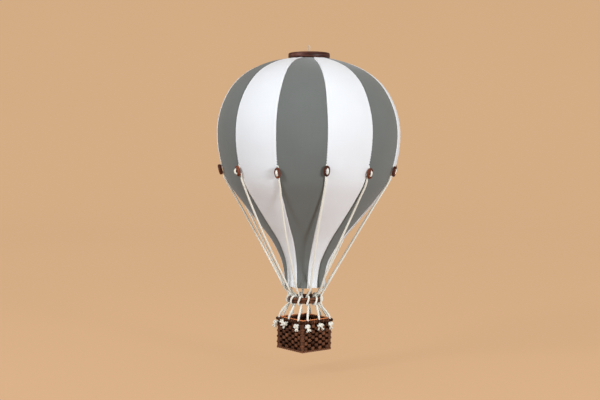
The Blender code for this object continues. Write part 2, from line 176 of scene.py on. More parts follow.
def cloth_at(run):
    """The cloth's depth, radius and outward normal at a distance down it."""
    values = (CLOTH[:, 0], CLOTH[:, 1], -CLOTH_ALONG[:, 1], CLOTH_ALONG[:, 0])
    return [np.interp(run, CLOTH_RUN, value) for value in values]


def twist_at(depth):
    """How far the seams have turned round the axis at a depth, in radians."""
    return np.radians(np.interp(depth, TWIST[:, 0], TWIST[:, 1]))


def run_at_depth(depth):
    return np.interp(depth, CLOTH[:, 0], CLOTH_RUN)


def heading(angle):
    """The level direction at an angle."""
    return stacked(np.cos(angle), np.sin(angle), 0.0)


def place(depth, radius, angle, sideways=0.0, axis_depth=None):
    """Points at a depth, radius and angle round the axis, with a step sideways. The axis leans
    away from the camera's right, by the table's distance at that depth."""
    lean = np.interp(depth if axis_depth is None else axis_depth, LEAN[:, 0], LEAN[:, 1])
    x = radius * np.cos(angle) - sideways * np.sin(angle) - CAMERA_RIGHT[0] * lean
    y = radius * np.sin(angle) + sideways * np.cos(angle) - CAMERA_RIGHT[1] * lean
    return stacked(x, y, TOP_Z - depth)


def at_basket(side, out, along, depth):
    """Points by a side of the basket: out from its middle, along the side, and a depth. The
    basket hangs a little askew, so its points turn about its rim's middle by a small angle."""
    nx, ny = SIDES[side]
    x = nx * out - ny * along
    y = ny * out + nx * along
    right = x * CAMERA_RIGHT[0] + y * CAMERA_RIGHT[1]
    shift = -BASKET_TILT * (depth - RIM_DEPTH) - LEAN[-1, 1]
    z = TOP_Z - depth - BASKET_TILT * right
    return stacked(x + CAMERA_RIGHT[0] * shift, y + CAMERA_RIGHT[1] * shift, z)


def side_ways(side):
    """The direction out of a side of the basket, and the direction along it."""
    nx, ny = SIDES[side]
    return np.array([nx, ny, 0.0]), np.array([-ny, nx, 0.0])


def ease(value):
    """From 0 to 1 with level ends."""
    value = np.clip(value, 0, 1)
    return value * value * (3 - 2 * value)


def carried(path):
    """Directions along a path and across it, the second carried along without a twist."""
    along = unit(np.gradient(path, axis=0))
    across = np.empty_like(along)
    side = np.cross(along[0], (0.3, 0.2, 0.9))
    for i, way in enumerate(along):
        side = side - way * (side @ way)
        side = side / math.sqrt(side @ side)
        across[i] = side
    return along, across, np.cross(along, across)


def signed_powers(turn, power):
    """Cosine and sine of a turn, each raised to a power with its sign kept."""
    return [np.sign(wave) * np.abs(wave) ** power for wave in (np.cos(turn), np.sin(turn))]


def oval(columns, half_a, half_b, power=1.0):
    """An oval round two half widths; a power below 1 makes it squarer."""
    a, b = signed_powers(TURN * (np.arange(columns) + 0.5) / columns, power)
    return np.multiply.outer(np.atleast_1d(half_a), a), np.multiply.outer(np.atleast_1d(half_b), b)


def sweep(path, side, up, outline):
    """A closed outline carried along a path, its two widths laid along side and up, which are
    one direction for the whole path or one for each of its points."""
    a, b = outline
    side = np.broadcast_to(side, path.shape)[:, None]
    up = np.broadcast_to(up, path.shape)[:, None]
    return path[:, None] + side * a[..., None] + up * b[..., None]


def round_tube(path, radius, columns):
    """A tube along a path, with its own radius at each point."""
    _, across, up = carried(path)
    return sweep(path, across, up, oval(columns, radius, radius))


def round_square(share, half, corner):
    """Points and outward directions round a square with rounded corners, from the middle of
    its +X side: straight for half a side, a quarter circle, and straight again, four times."""
    straight = half - corner
    arc = math.pi / 2 * corner
    quarter = 2 * straight + arc
    side, run = np.divmod(np.asarray(share) % 1.0 * 4 * quarter, quarter)
    turn = np.clip((run - straight) / corner, 0, math.pi / 2)
    x = straight + corner * np.cos(turn) - np.maximum(run - straight - arc, 0)
    y = np.minimum(run, straight) + corner * np.sin(turn)
    c = np.cos(side * math.pi / 2)
    s = np.sin(side * math.pi / 2)
    out_x = np.cos(turn)
    out_y = np.sin(turn)
    out = stacked(out_x * c - out_y * s, out_x * s + out_y * c, 0.0)
    return stacked(x * c - y * s, x * s + y * c, 0.0), out


# Meshes

# How far apart in metres two shells of one piece begin in their grain
SHELL_START = 0.0619


def quads(grid):
    """The four corners of every face of a grid."""
    corners = (grid[:, :-1, :-1], grid[:, :-1, 1:], grid[:, 1:, 1:], grid[:, 1:, :-1])
    return np.stack(corners, axis=3).reshape(-1, 4, *grid.shape[3:])


class Skin:
    """One piece's surface: closed grids of points, gathered and then made into a mesh."""

    def __init__(self):
        self.points = []
        self.tones = []
        self.faces = []
        self.vertex_count = 0
        self.shell_count = 0

    def add(self, grid, tone=0.5, ends="fan", uv=None):
        """Adds one or more shells of rows by columns of points. Each row closes on itself. Both
        end rows are closed by a fan or a strip of faces, or only the first one, or the last row
        joins the first in a loop."""
        grid = np.asarray(grid, float)
        if grid.ndim == 3:
            grid = grid[None]
        count, rows, columns, _ = grid.shape
        if uv is None:
            uv = self.measured(grid, ends)
        tone = np.broadcast_to(tone, grid.shape[:3])
        index = self.vertex_count + np.arange(grid[..., 0].size).reshape(count, rows, columns)
        index = np.concatenate([index, index[:, :, :1]], axis=2)
        if ends == "loop":
            index = np.concatenate([index, index[:, :1]], axis=1)
        faces = [(quads(index), quads(uv))]
        points = [grid.reshape(-1, 3)]
        tones = [tone.reshape(-1)]
        made = grid[..., 0].size
        j = np.arange(columns // 2 - 1)
        for row in {"fan": (0, -1), "strip": (0, -1), "first": (0,), "loop": ()}[ends]:
            way = 1 if row else -1
            if ends == "strip":
                pick = (j, j + 1, columns - 2 - j, columns - 1 - j)[::way]
                corners = stacked(*[index[:, row, column] for column in pick])
                spots = np.stack([uv[:, row, column] for column in pick], axis=-2)
            else:
                ring = (index[:, row, :-1], index[:, row, 1:])[::way]
                ring_uv = (uv[:, row, :-1], uv[:, row, 1:])[::way]
                centre = (self.vertex_count + made + np.arange(count))[:, None]
                made += count
                points.append(grid[:, row].mean(axis=1))
                tones.append(tone[:, row].mean(axis=1))
                corners = stacked(centre, *ring)
                spots = np.stack([(ring_uv[0] + ring_uv[1]) / 2, *ring_uv], axis=-2)
            size = corners.shape[-1]
            faces.append((corners.reshape(-1, size), spots.reshape(-1, size, 2)))
        points = np.concatenate(points)
        if self.volume(points, faces) < 0:
            faces = [(corners[:, ::-1], spots[:, ::-1]) for corners, spots in faces]
        self.points.append(points)
        self.tones.append(np.concatenate(tones))
        self.faces += faces
        self.vertex_count += made
        self.shell_count += count
        return self

    def measured(self, grid, ends):
        """UVs in metres: round the shell, and along it, with its own start for each shell."""
        count, rows, columns, _ = grid.shape
        closing = grid[:, :1] if ends == "loop" else grid[:, :0]
        steps = np.diff(np.concatenate([grid, closing], axis=1), axis=1)
        run = np.cumsum(np.linalg.norm(steps, axis=-1).mean(axis=2), axis=1) * MM
        run = np.concatenate([np.zeros((count, 1)), run], axis=1)
        ring = grid[:, rows // 2]
        girth = np.linalg.norm(ring - np.roll(ring, 1, axis=1), axis=-1).sum(axis=1)
        around = np.arange(columns + 1) / columns * girth[:, None] * MM
        own_start = (self.shell_count + np.arange(count))[:, None] * SHELL_START
        return stacked(around[:, None, :], (run + own_start)[:, :, None])

    def volume(self, points, faces):
        """Six times the signed volume inside the faces, which is positive if they face out."""
        total = 0.0
        for corners, _ in faces:
            spots = points[corners - self.vertex_count]
            for k in range(1, corners.shape[1] - 1):
                total += np.sum(spots[:, 0] * np.cross(spots[:, k], spots[:, k + 1]))
        return total

    def make(self, name, material, slot="", nodes=(), sharp=60):
        """The finished piece, which rides on the body in place of its nodes if it has a slot."""
        mesh = bpy.data.meshes.new(name)
        points = np.concatenate(self.points) * MM
        corners = np.concatenate([face.ravel() for face, _ in self.faces])
        spots = np.concatenate([spot.ravel() for _, spot in self.faces])
        sizes = np.concatenate([np.full(len(face), face.shape[1]) for face, _ in self.faces])
        mesh.vertices.add(len(points))
        mesh.vertices.foreach_set("co", points.astype(np.float32).ravel())
        mesh.loops.add(len(corners))
        mesh.loops.foreach_set("vertex_index", corners.astype(np.int32))
        mesh.polygons.add(len(sizes))
        mesh.polygons.foreach_set("loop_start", (np.cumsum(sizes) - sizes).astype(np.int32))
        mesh.update(calc_edges=True)
        mesh.uv_layers.new(name="UVMap").uv.foreach_set("vector", spots.astype(np.float32))
        tone = mesh.attributes.new("tone", "FLOAT", "POINT")
        tone.data.foreach_set("value", np.concatenate(self.tones).astype(np.float32))
        mesh.validate()
        mesh.shade_smooth()
        mesh.set_sharp_from_angle(angle=math.radians(sharp))
        mesh.materials.append(material)
        piece = bpy.data.objects.new(name, mesh)
        bpy.context.scene.collection.objects.link(piece)
        if slot:
            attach(piece, "root")
            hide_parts(*nodes)
        return piece


# Materials

class Nodes:
    """A node tree whose nodes are added one after another, from their inputs."""

    def __init__(self, owner):
        owner.use_nodes = True
        self.tree = owner.node_tree

    def node(self, kind, inputs=None, **settings):
        made = self.tree.nodes.new("ShaderNode" + kind)
        for label, value in settings.items():
            setattr(made, label, value)
        for label, value in (inputs or {}).items():
            if isinstance(value, bpy.types.NodeSocket):
                self.tree.links.new(value, made.inputs[label])
            else:
                made.inputs[label].default_value = value
        return made

    def calculate(self, operation, first, second=0.0):
        return self.node("Math", {0: first, 1: second}, operation=operation).outputs[0]

    def spread(self, value, low, high, to_low=0.0, to_high=1.0):
        """A value's range from low to high, taken to another range and held there."""
        inputs = {
            "Value": value, "From Min": low, "From Max": high, "To Min": to_low, "To Max": to_high,
        }
        return self.node("MapRange", inputs).outputs["Result"]

    def mix(self, share, first, second):
        """Two colours, with a share of the second."""
        colours = [(*c, 1) if isinstance(c, tuple) else c for c in (first, second)]
        inputs = {0: share, 6: colours[0], 7: colours[1]}
        return self.node("Mix", inputs, data_type="RGBA").outputs[2]


class Finish(Nodes):
    """A material on one shader."""

    def __init__(self, name, roughness, **sockets):
        self.material = bpy.data.materials.new(name)
        super().__init__(self.material)
        self.shader = self.tree.nodes["Principled BSDF"]
        for label, value in {"Roughness": roughness, **sockets}.items():
            self.shader.inputs[label.replace("_", " ")].default_value = value

    def coordinates(self, kind="Object", scale=(1, 1, 1)):
        spots = self.node("TexCoord").outputs[kind]
        return self.node("Mapping", {"Vector": spots, "Scale": scale}).outputs["Vector"]

    def noise(self, spots, scale, detail=2.0, roughness=0.5, distortion=0.0):
        inputs = {
            "Vector": spots, "Scale": scale, "Detail": detail,
            "Roughness": roughness, "Distortion": distortion,
        }
        return self.node("TexNoise", inputs).outputs["Fac"]

    def tone(self):
        return self.node("Attribute", attribute_name="tone").outputs["Fac"]

    def bump(self, height, distance, strength=1.0):
        inputs = {"Height": height, "Distance": distance, "Strength": strength}
        made = self.node("Bump", inputs)
        for link in list(self.shader.inputs["Normal"].links):
            self.tree.links.new(link.from_socket, made.inputs["Normal"])
        self.feed("Normal", made.outputs["Normal"])

    def feed(self, label, socket):
        self.tree.links.new(socket, self.shader.inputs[label])

    def colour(self, socket):
        self.feed("Base Color", socket)


def cloth_finish(name, colour, shaded, painted_seam_shading):
    """Plain woven cotton: two crossed sets of threads as a fine bump, threads that vary a
    little in tone each way, and along each seam painted light: a painted highlight on the
    white cloth's fold and painted shade on the grey cloth."""
    f = Finish(name, 0.9, Sheen_Weight=0.25, Sheen_Roughness=0.5, Specular_IOR_Level=0.25)
    parts = f.node("SeparateXYZ", {0: f.node("TexCoord").outputs["UV"]})
    thread = TURN / (0.55 * MM)
    warp = f.calculate("SINE", f.calculate("MULTIPLY", parts.outputs[0], thread))
    weft = f.calculate("SINE", f.calculate("MULTIPLY", parts.outputs[1], thread))
    f.bump(f.calculate("MULTIPLY", warp, weft), 0.05 * MM, 0.6)
    long_warp = f.noise(f.coordinates("UV", (1400, 22, 1)), 1.0, 3.0)
    long_weft = f.noise(f.coordinates("UV", (22, 1400, 1)), 1.0, 3.0)
    slubs = f.calculate("ADD", long_warp, long_weft)
    patches = f.noise(f.coordinates(), 14.0, 2.0)
    f.bump(f.noise(f.coordinates("UV"), 90.0, 3.0), 0.25 * MM, 0.25)
    slubs = f.spread(slubs, 0.6, 1.4, 0.0, 0.55)
    varied = f.calculate("ADD", slubs, f.spread(patches, 0.3, 0.7, 0.0, 0.45))
    base = f.mix(varied, shaded, colour)
    # painted light along each seam: lighter on the white cloth as a painted highlight, darker on the
    # grey as painted shade
    seam = f.spread(f.tone(), 0.5, 1.0, 0.0, 0.8)
    f.colour(f.mix(seam, base, painted_seam_shading))
    return f.material


def rope_finish():
    """Twisted cotton: fibres along each strand, painted shade in the grooves between strands,
    and a painted highlight on the strands' crests and on the frayed ends.
    """
    f = Finish("cotton_rope", 0.9, Sheen_Weight=0.35, Sheen_Roughness=0.4, Specular_IOR_Level=0.25)
    fibres = f.noise(f.coordinates("UV", (5200, 480, 1)), 1.0, 3.0, 0.6)
    f.bump(fibres, 0.12 * MM, 0.6)
    patches = f.noise(f.coordinates(), 120.0, 2.0)
    base = f.mix(f.spread(patches, 0.3, 0.7), (0.86, 0.82, 0.71), (0.93, 0.90, 0.82))
    base = f.mix(f.spread(fibres, 0.3, 0.75, 0.15, 0.0), base, (0.74, 0.69, 0.56))
    # painted shade: the grooves between strands, where the tone is low, are darkened
    base = f.mix(f.spread(f.tone(), 0.1, 0.55, 0.25, 0.0), base, (0.55, 0.49, 0.38))
    # painted highlight: the strands' crests and the frayed ends, where the tone is high, are lightened
    f.colour(f.mix(f.spread(f.tone(), 0.6, 0.9), base, (0.96, 0.90, 0.79)))
    return f.material


def thread_finish():
    f = Finish("hanging_thread", 0.8, Sheen_Weight=0.2)
    ply = f.noise(f.coordinates("UV", (3000, 900, 1)), 1.0, 2.0)
    f.bump(ply, 0.05 * MM, 0.5)
    f.colour(f.mix(f.spread(ply, 0.3, 0.7), (0.62, 0.59, 0.50), (0.80, 0.78, 0.71)))
    return f.material


def wood_finish(name, dark, middle, light, grain, gloss, axis_scale):
    """Stained and polished wood: long figure broken by fine pores, under a thin coat."""
    f = Finish(name, gloss, Coat_Weight=0.03, Coat_Roughness=0.4, Specular_IOR_Level=0.2)
    spots = f.coordinates("Object", axis_scale)
    figure = f.noise(spots, grain, 4.0, 0.55, 0.6)
    pores = f.noise(spots, grain * 7, 3.0, 0.6)
    base = f.mix(f.spread(figure, 0.36, 0.62), dark, middle)
    base = f.mix(f.spread(figure, 0.55, 0.75), base, light)
    f.colour(f.mix(f.spread(pores, 0.52, 0.72, 0.0, 0.55), base, dark))
    f.feed("Roughness", f.spread(pores, 0.3, 0.7, gloss - 0.06, gloss + 0.12))
    f.bump(pores, 0.12 * MM, 0.35)
    return f.material


def cane_finish(name, dark, middle, light, painted_highlight, gloss):
    """Stained cane: streaks along it, blotches where the stain took more, and a satin skin.
    The tone attribute makes one strand lighter or darker than the next, and it also carries
    painted light: a low tone is painted shade, near black and with less specular, and a tone
    near 1 takes the painted highlight colour."""
    f = Finish(name, gloss)
    streaks = f.noise(f.coordinates("UV", (1500, 90, 1)), 1.0, 4.0, 0.6)
    blotches = f.noise(f.coordinates(), 170.0, 3.0, 0.6, 0.5)
    base = f.mix(f.spread(streaks, 0.34, 0.66), dark, middle)
    base = f.mix(f.spread(blotches, 0.45, 0.72, 0.0, 0.75), base, light)
    tone = f.tone()
    base = f.mix(f.spread(tone, 0.5, 0.9, 0.0, 0.8), base, light)
    # painted highlight where the tone is near 1
    base = f.mix(f.spread(tone, 0.9, 1.0, 0.0, 0.9), base, painted_highlight)
    # painted shade where the tone is low
    f.colour(f.mix(f.spread(tone, 0.0, 0.5, 0.92, 0.0), base, dark))
    f.feed("Roughness", f.spread(blotches, 0.3, 0.7, gloss + 0.15, gloss - 0.08))
    # less specular where the tone is low, as painted shade in the weave's recesses
    f.feed("Specular IOR Level", f.spread(tone, 0.1, 0.6, 0.0, 0.18))
    f.bump(streaks, 0.2 * MM, 0.5)
    return f.material


def stage_finish():
    """The backdrop's paint: most of what the camera sees of it is its own even glow."""
    f = Finish("backdrop", 0.95, Specular_IOR_Level=0.1)
    soft = f.noise(f.coordinates(), 1.3, 2.0)
    f.colour(f.mix(f.spread(soft, 0.3, 0.7), (0.175, 0.110, 0.061), (0.185, 0.117, 0.066)))
    f.shader.inputs["Emission Color"].default_value = (0.686, 0.434, 0.246, 1)
    f.shader.inputs["Emission Strength"].default_value = 0.79
    return f.material


# the last colour of each cloth is painted along its seams: painted shade on the grey, a painted
# highlight on the white
GREY_CLOTH = cloth_finish(
    "grey_cloth", (0.172, 0.180, 0.168), (0.142, 0.148, 0.138), (0.150, 0.157, 0.146)
)
WHITE_CLOTH = cloth_finish(
    "white_cloth", (0.86, 0.865, 0.885), (0.80, 0.805, 0.825), (0.93, 0.93, 0.94)
)
ROPE = rope_finish()
THREAD = thread_finish()
DISC_WOOD = wood_finish(
    "disc_wood", (0.036, 0.010, 0.006), (0.150, 0.050, 0.033), (0.27, 0.105, 0.070),
    22.0, 0.42, (1.0, 1.0, 6.0),
)
TOGGLE_WOOD = wood_finish(
    "toggle_wood", (0.045, 0.011, 0.006), (0.150, 0.036, 0.014), (0.25, 0.066, 0.026),
    70.0, 0.40, (1.0, 1.0, 0.35),
)
HOOP_CANE = cane_finish(
    "hoop_cane", (0.040, 0.014, 0.007), (0.165, 0.060, 0.028), (0.27, 0.105, 0.048),
    (0.30, 0.12, 0.05), 0.45,
)
# the last colour is the painted highlight, used on the rim's top cane
WICKER = cane_finish(
    "wicker", (0.003, 0.0015, 0.001), (0.132, 0.045, 0.020), (0.27, 0.096, 0.042),
    (0.88, 0.29, 0.105), 0.42,
)


# Envelope

GORE_COLUMNS = 24
TOP_ROWS = 112
SEWN_ROWS = 20
LOW_ROWS = 112
SEWN_FROM, SEWN_TO = run_at_depth(np.array([149.0, 190.0]))
GORE_ROWS = np.concatenate([
    np.linspace(0, SEWN_FROM, TOP_ROWS, endpoint=False),
    np.linspace(SEWN_FROM, SEWN_TO, SEWN_ROWS, endpoint=False),
    np.linspace(SEWN_TO, CLOTH_LENGTH, LOW_ROWS),
])
ZIGZAG = np.zeros(len(GORE_ROWS))
ZIGZAG[TOP_ROWS:TOP_ROWS + SEWN_ROWS] = np.linspace(0.3, 1.2, SEWN_ROWS)
ZIGZAG[TOP_ROWS:TOP_ROWS + SEWN_ROWS:2] *= -1
CLOTH_THICKNESS = 1.0
FOLD_THICKNESS = 0.5
EDGE_GAP = 0.06
GROOVE_DEPTH = 0.75
GROOVE_WIDTH = 0.7
HEM_ARCH = [0.5, 0.9, 0.3, 0.7, 0.4, 0.8, 0.3, 0.6, 0.5, 1.8, 0.4, 0.9]
HEM_RISE = 1.4
HEM_REACH = 40.0
HEM_BAND = 8.0

# The depths where the neck's seams begin to turn, where its pleats begin, and where its seams
# stop pulling in
NECK_TURNS = 325.0
NECK_PLEATS = 338.0
NECK_OPENS = 345.0


def gore_height(index, run, depth, across, seam, from_hem):
    """A panel's height over the envelope's profile: a low crown, a groove exp(-(w / width)^2)
    at distance w from a seam, the folded allowance that lifts only the white side of a seam,
    slow waves, puckers, neck pleats and the hem's band."""
    phase = 1.7 * index
    middle = np.sin(math.pi * across)
    open_cloth = 1 - 0.85 * ease((depth - NECK_OPENS) / 30)
    crown = -0.7 * (1 - middle) * ease(run / 60) * open_cloth
    groove = -GROOVE_DEPTH * np.exp(-((seam / GROOVE_WIDTH) ** 2)) * open_cloth
    if index % 2:
        allowance = 0.38 * ease((seam - 0.3) / 0.8) * (1 - ease((seam - 3.0) / 1.5))
    else:
        allowance = -0.25 * (1 - ease((seam - 0.5) / 3.0))
    waves = 0.16 * np.sin(run / 23 + phase) * np.sin(math.pi * across + 0.6 * np.sin(run / 41 + phase))
    pucker = 0.09 * np.sin(TURN * run / 9.3 + phase) * np.exp(-seam / 5)
    pleats = 0.45 * ease((depth - NECK_PLEATS) / 30) * np.cos(3 * TURN * across + phase) * middle
    band = 0.7 * (1 - ease((from_hem - HEM_BAND) / 0.8))
    stitched = -0.35 * np.exp(-(((from_hem - HEM_BAND + 1.6) / 0.9) ** 2))
    return crown + groove + allowance + waves + pucker + pleats + band + stitched


def gore_points(index):
    """A panel's outer and inner points by run and share across. The share is crowded toward
    the seams as t - 0.75 sin(2 pi t) / (2 pi), and the hem arches up between them. Above the
    toggles the seams are sewn in a small zigzag, from row to row."""
    t = np.linspace(0, 1, GORE_COLUMNS + 1)[None]
    across = t - 0.75 * np.sin(TURN * t) / TURN
    arch = HEM_RISE + HEM_ARCH[index] * np.sin(math.pi * across) ** 0.8
    run = GORE_ROWS[:, None]
    run = run - arch * ease((run - CLOTH_LENGTH + HEM_REACH) / HEM_REACH)
    depth, radius, normal_depth, normal_radius = cloth_at(run)
    width = radius * SEAM_STEP
    seam = width * np.minimum(across, 1 - across)
    from_hem = CLOTH_LENGTH - run - arch
    height = gore_height(index, run, depth, across, seam, from_hem)
    thickness = CLOTH_THICKNESS + FOLD_THICKNESS * (from_hem < HEM_BAND)
    at_neck = ease((depth - NECK_TURNS) / 65)
    first, second = [
        np.radians(SEAM_SHIFTS[k] + NECK_SHIFTS[k] * at_neck) + ZIGZAG[:, None] / radius
        for k in (index, (index + 1) % GORES)
    ]
    sheets = []
    for lift in (height, height - thickness):
        out = radius + normal_radius * lift
        gap = EDGE_GAP / out
        start = index * SEAM_STEP + first + twist_at(depth) + gap
        angle = start + (SEAM_STEP + second - first - 2 * gap) * across
        sheets.append(place(depth + normal_depth * lift, out, angle, axis_depth=depth))
    uv = stacked((across - 0.5) * width * MM, run * MM)
    # the tone rises near a seam; the cloth finishes turn it into a painted highlight on white and
    # painted shade on grey
    tone = 0.5 + 0.5 * np.exp(-seam / 1.6)
    return sheets, uv, tone


def make_gore(index):
    (outer, inner), uv, tone = gore_points(index)
    grid = np.concatenate([outer, inner[:, ::-1]], axis=1)
    uvs = np.concatenate([uv, uv[:, ::-1], uv[:, :1]], axis=1)[None]
    tones = np.concatenate([tone, tone[:, ::-1]], axis=1)
    colour = "white" if index % 2 else "grey"
    name = f"envelope_gore_{colour}_{index + 1:02d}"
    material = WHITE_CLOTH if index % 2 else GREY_CLOTH
    skin = Skin().add(grid, tones, "strip", uvs)
    piece = skin.make(f"{name}_cloth", material, f"{colour}_cloth", [name])


for gore in range(GORES):
    make_gore(gore)


# Disc and loop

def make_disc():
    """The turned disc: a profile of radius and height, smoothed and turned about the axis."""
    r = DISC_RADIUS
    t = DISC_THICKNESS
    profile = [
        (DISC_BORE, -t), (DISC_BORE, -t / 2), (DISC_BORE, -0.5), (DISC_BORE + 0.35, -0.1),
        (DISC_BORE + 1.0, 0.0), (r * 0.4, 0.0), (r * 0.75, -0.05), (r - 3.2, -0.1),
        (r - 1.6, -0.35), (r - 0.55, -1.0), (r - 0.12, -1.9), (r - 0.1, -2.5),
        (r - 0.5, -2.9), (r - 0.55, -3.15), (r - 0.12, -3.5), (r, -4.4), (r, -6.4),
        (r - 0.2, -7.8), (r - 0.75, -8.7), (r - 1.6, -t + 0.1), (r - 2.6, -t),
        (r * 0.6, -t), (r * 0.3, -t),
    ]
    closed = np.array(profile + profile[:1])
    outline = evenly(curve_through(closed, 6), 121)[:-1]
    angle = TURN * np.arange(144)[:, None] / 144
    out = outline[:, 0]
    grid = stacked(out * np.cos(angle), out * np.sin(angle), TOP_Z + outline[:, 1])
    Skin().add(grid, 0.5, "loop").make("top_disc_wood", DISC_WOOD, "disc_wood", ["top_disc"], 40)


def make_loop():
    """The hanging loop: two plies wound round each other along a narrow eye."""
    half = 2.2
    crown = 0.45
    ply_lay = 2.2
    ply_radius = 0.25
    ply_out = 0.21
    right = [
        (1.0, TOP_Z - 6.0), (1.0, TOP_Z), (1.1, TOP_Z + 2.4), (1.87, TOP_Z + 6.0),
        (half, crown - 2.86), (1.76, crown - 1.1), (0.88, crown - 0.22),
    ]
    points = [(x, 0, z) for x, z in right] + [(0, 0, crown)]
    points += [(-x, 0, z) for x, z in reversed(right)]
    path = evenly(curve_through(points, 16), 150)
    _, across, up = carried(path)
    skin = Skin()
    for start in (0, math.pi):
        turn = run_along(path)[:, None] * TURN / ply_lay + start
        ply = path + (across * np.cos(turn) + up * np.sin(turn)) * ply_out
        skin.add(round_tube(ply, ply_radius, 8))
    skin.make("hanging_loop_thread", THREAD, "hanging_thread", ["hanging_loop"])


make_disc()
make_loop()


# Toggles

def toggle_frame(index):
    """A toggle's centre, and its outward, upward and sideways directions."""
    angle = index * SEAM_STEP + TOGGLE_TURN
    depth = TOGGLE_DEPTH + TOGGLE_SHIFTS[index]
    radius = cloth_at(run_at_depth(depth))[1]
    centre = place(depth, radius + TOGGLE_STAND_OFF, angle)
    outward = heading(angle + math.radians(TOGGLE_FACINGS[index]))
    facing = outward * math.cos(TOGGLE_TILT) - UP * math.sin(TOGGLE_TILT)
    rising = outward * math.sin(TOGGLE_TILT) + UP * math.cos(TOGGLE_TILT)
    return centre, facing, rising, np.cross(facing, rising)


def make_toggle(index):
    """An oval ring: a rounded section carried round an upright oval, a little worn and
    uneven, as centre + sideways a cos t + rising b sin t, with a small wave in its thickness."""
    centre, facing, rising, sideways = toggle_frame(index)
    half_up = (TOGGLE_HEIGHT - TOGGLE_WALL) / 2
    half_across = (TOGGLE_WIDTH - TOGGLE_WALL) / 2
    turn = TURN * np.arange(56)[:, None] / 56
    out = unit(sideways * np.cos(turn) * half_up + rising * np.sin(turn) * half_across)
    path = centre + sideways * half_across * np.cos(turn) + rising * half_up * np.sin(turn)
    uneven = 1 + 0.03 * np.sin(2 * turn[:, 0] + index) + 0.02 * np.sin(5 * turn[:, 0] + 2 * index)
    outline = oval(20, TOGGLE_WALL / 2 * uneven, TOGGLE_THICKNESS / 2 * uneven, 0.85)
    name = f"seam_toggle_{index + 1:02d}"
    skin = Skin().add(sweep(path, out, facing, outline), 0.5, "loop")
    skin.make(f"{name}_ring", TOGGLE_WOOD, "toggle_wood", [name])


for toggle in range(GORES):
    make_toggle(toggle)


# Ropes

ROPE_LAY = 10.5
SPAN_SIDEWAYS = [-1.0, -4.4, -4.0, -4.0, -4.4, -4.4, -4.4, -4.2, -4.0, -4.0, -3.8, -2.0]
SPAN_OUT = [0.3, 0.0, -1.5, 1.0, 0.5, 1.5, 1.0, 0.4, -2.0, 0.8, 0.5, 0.3]
SPAN_LOW = {0: -3.4}
HEM_SIDEWAYS = [2.0, 0, 0, 0, 0, -4.4, 2.0, 0, 0, 0, -2.0, 2.6]
HEM_OUT = [3.4, 2.2, 1.0, 2.0, 1.0, 0, 0, 0, 0, 0, 0, 0.5]
HOOP_ARRIVES = [1.0, -2, -2, -2, -2, -2, 1.5, -2, -2, -2, -2, -1.0]
HOOP_WAYS = [1, -1, 1, -1, -1, -1, -1, -1, 1, 1, 1, 1]
HOOP_LEAVES = [3.8, 0.5, 1.0, 1.0, 0.5, 0.5, 0.5, 1.0, 5.4, 1.6, 1.0, 1.0]
ROPE_STEP = 0.74
GROOVE_SIZE = 0.76
STRAND_OUTLINE = np.array([GROOVE_SIZE, 0.89, 0.97, 1.0, 0.97, 0.89] * 3)
KNOT_OUT = 37.2
KNOT_DOWN = 8.7
KNOT_TURNS = 1.15
KNOT_RISE = 1.9
KNOT_ROPE = 1.7
KNOT_SHIFTS = [-1.0, -2.8, 0, 1, -1, 0, 1, 0, -2.3, -5.7, 1.3, -5.0]
FRAY_RADIUS = 1.3
HAIRS = 26

# Where each frayed end goes from its knot's middle: along the side, out, and down, then how
# many strands it has and how far they splay
PLAIN_TAIL = [((0.3, 0.2, 7.4), 3, 0.32)]
TAILS = {
    0: [
        ((-6.2, 0.4, 0.4), 1, 0.2), ((6.2, 0.4, 0.2), 1, 0.2),
        ((-4.6, 0.6, 7.2), 1, 0.2), ((5.0, 0.6, 7.6), 2, 0.2),
    ],
    1: [((2.2, 0.4, 7.2), 3, 0.4)],
    3: [((1.4, 0.6, 7.4), 3, 0.4)],
    4: [((-1.8, 0.4, 7.6), 3, 0.35)],
    6: [((-0.8, 0.8, 7.6), 3, 0.3)],
    7: [((2.2, 0.4, 7.2), 3, 0.4)],
    8: [((-2.6, 1.2, 7.4), 4, 0.42)],
    9: [
        ((-2.2, 2.4, -6.8), 1, 0.2), ((-8.4, 2.2, -4.0), 2, 0.2), ((-6.0, 2.4, 3.0), 1, 0.25),
        ((0.4, 1.8, 6.6), 2, 0.2), ((5.4, 1.0, 0.6), 2, 0.25),
    ],
    10: [((0.0, 0.4, 7.4), 3, 0.35)],
    11: [((3.0, 0.6, 7.4), 5, 0.5)],
}


def rim_seat(index):
    """A rope's side of the basket, and its place along that side."""
    side, order = divmod(index + 1, 3)
    return side % 4, RIM_PLACES[side % 4][order]


def taut_depth(hem_depth, hem_radius, offset):
    """Where a taut rope from the hem first touches the cloth above it."""
    run = run_at_depth(np.arange(TOGGLE_DEPTH + TOGGLE_HEIGHT, 330, 0.5))
    depth, radius, normal_depth, normal_radius = cloth_at(run)
    slope = (radius + normal_radius * offset - hem_radius) / (
        hem_depth - depth - normal_depth * offset
    )
    return depth[np.argmax(slope)]


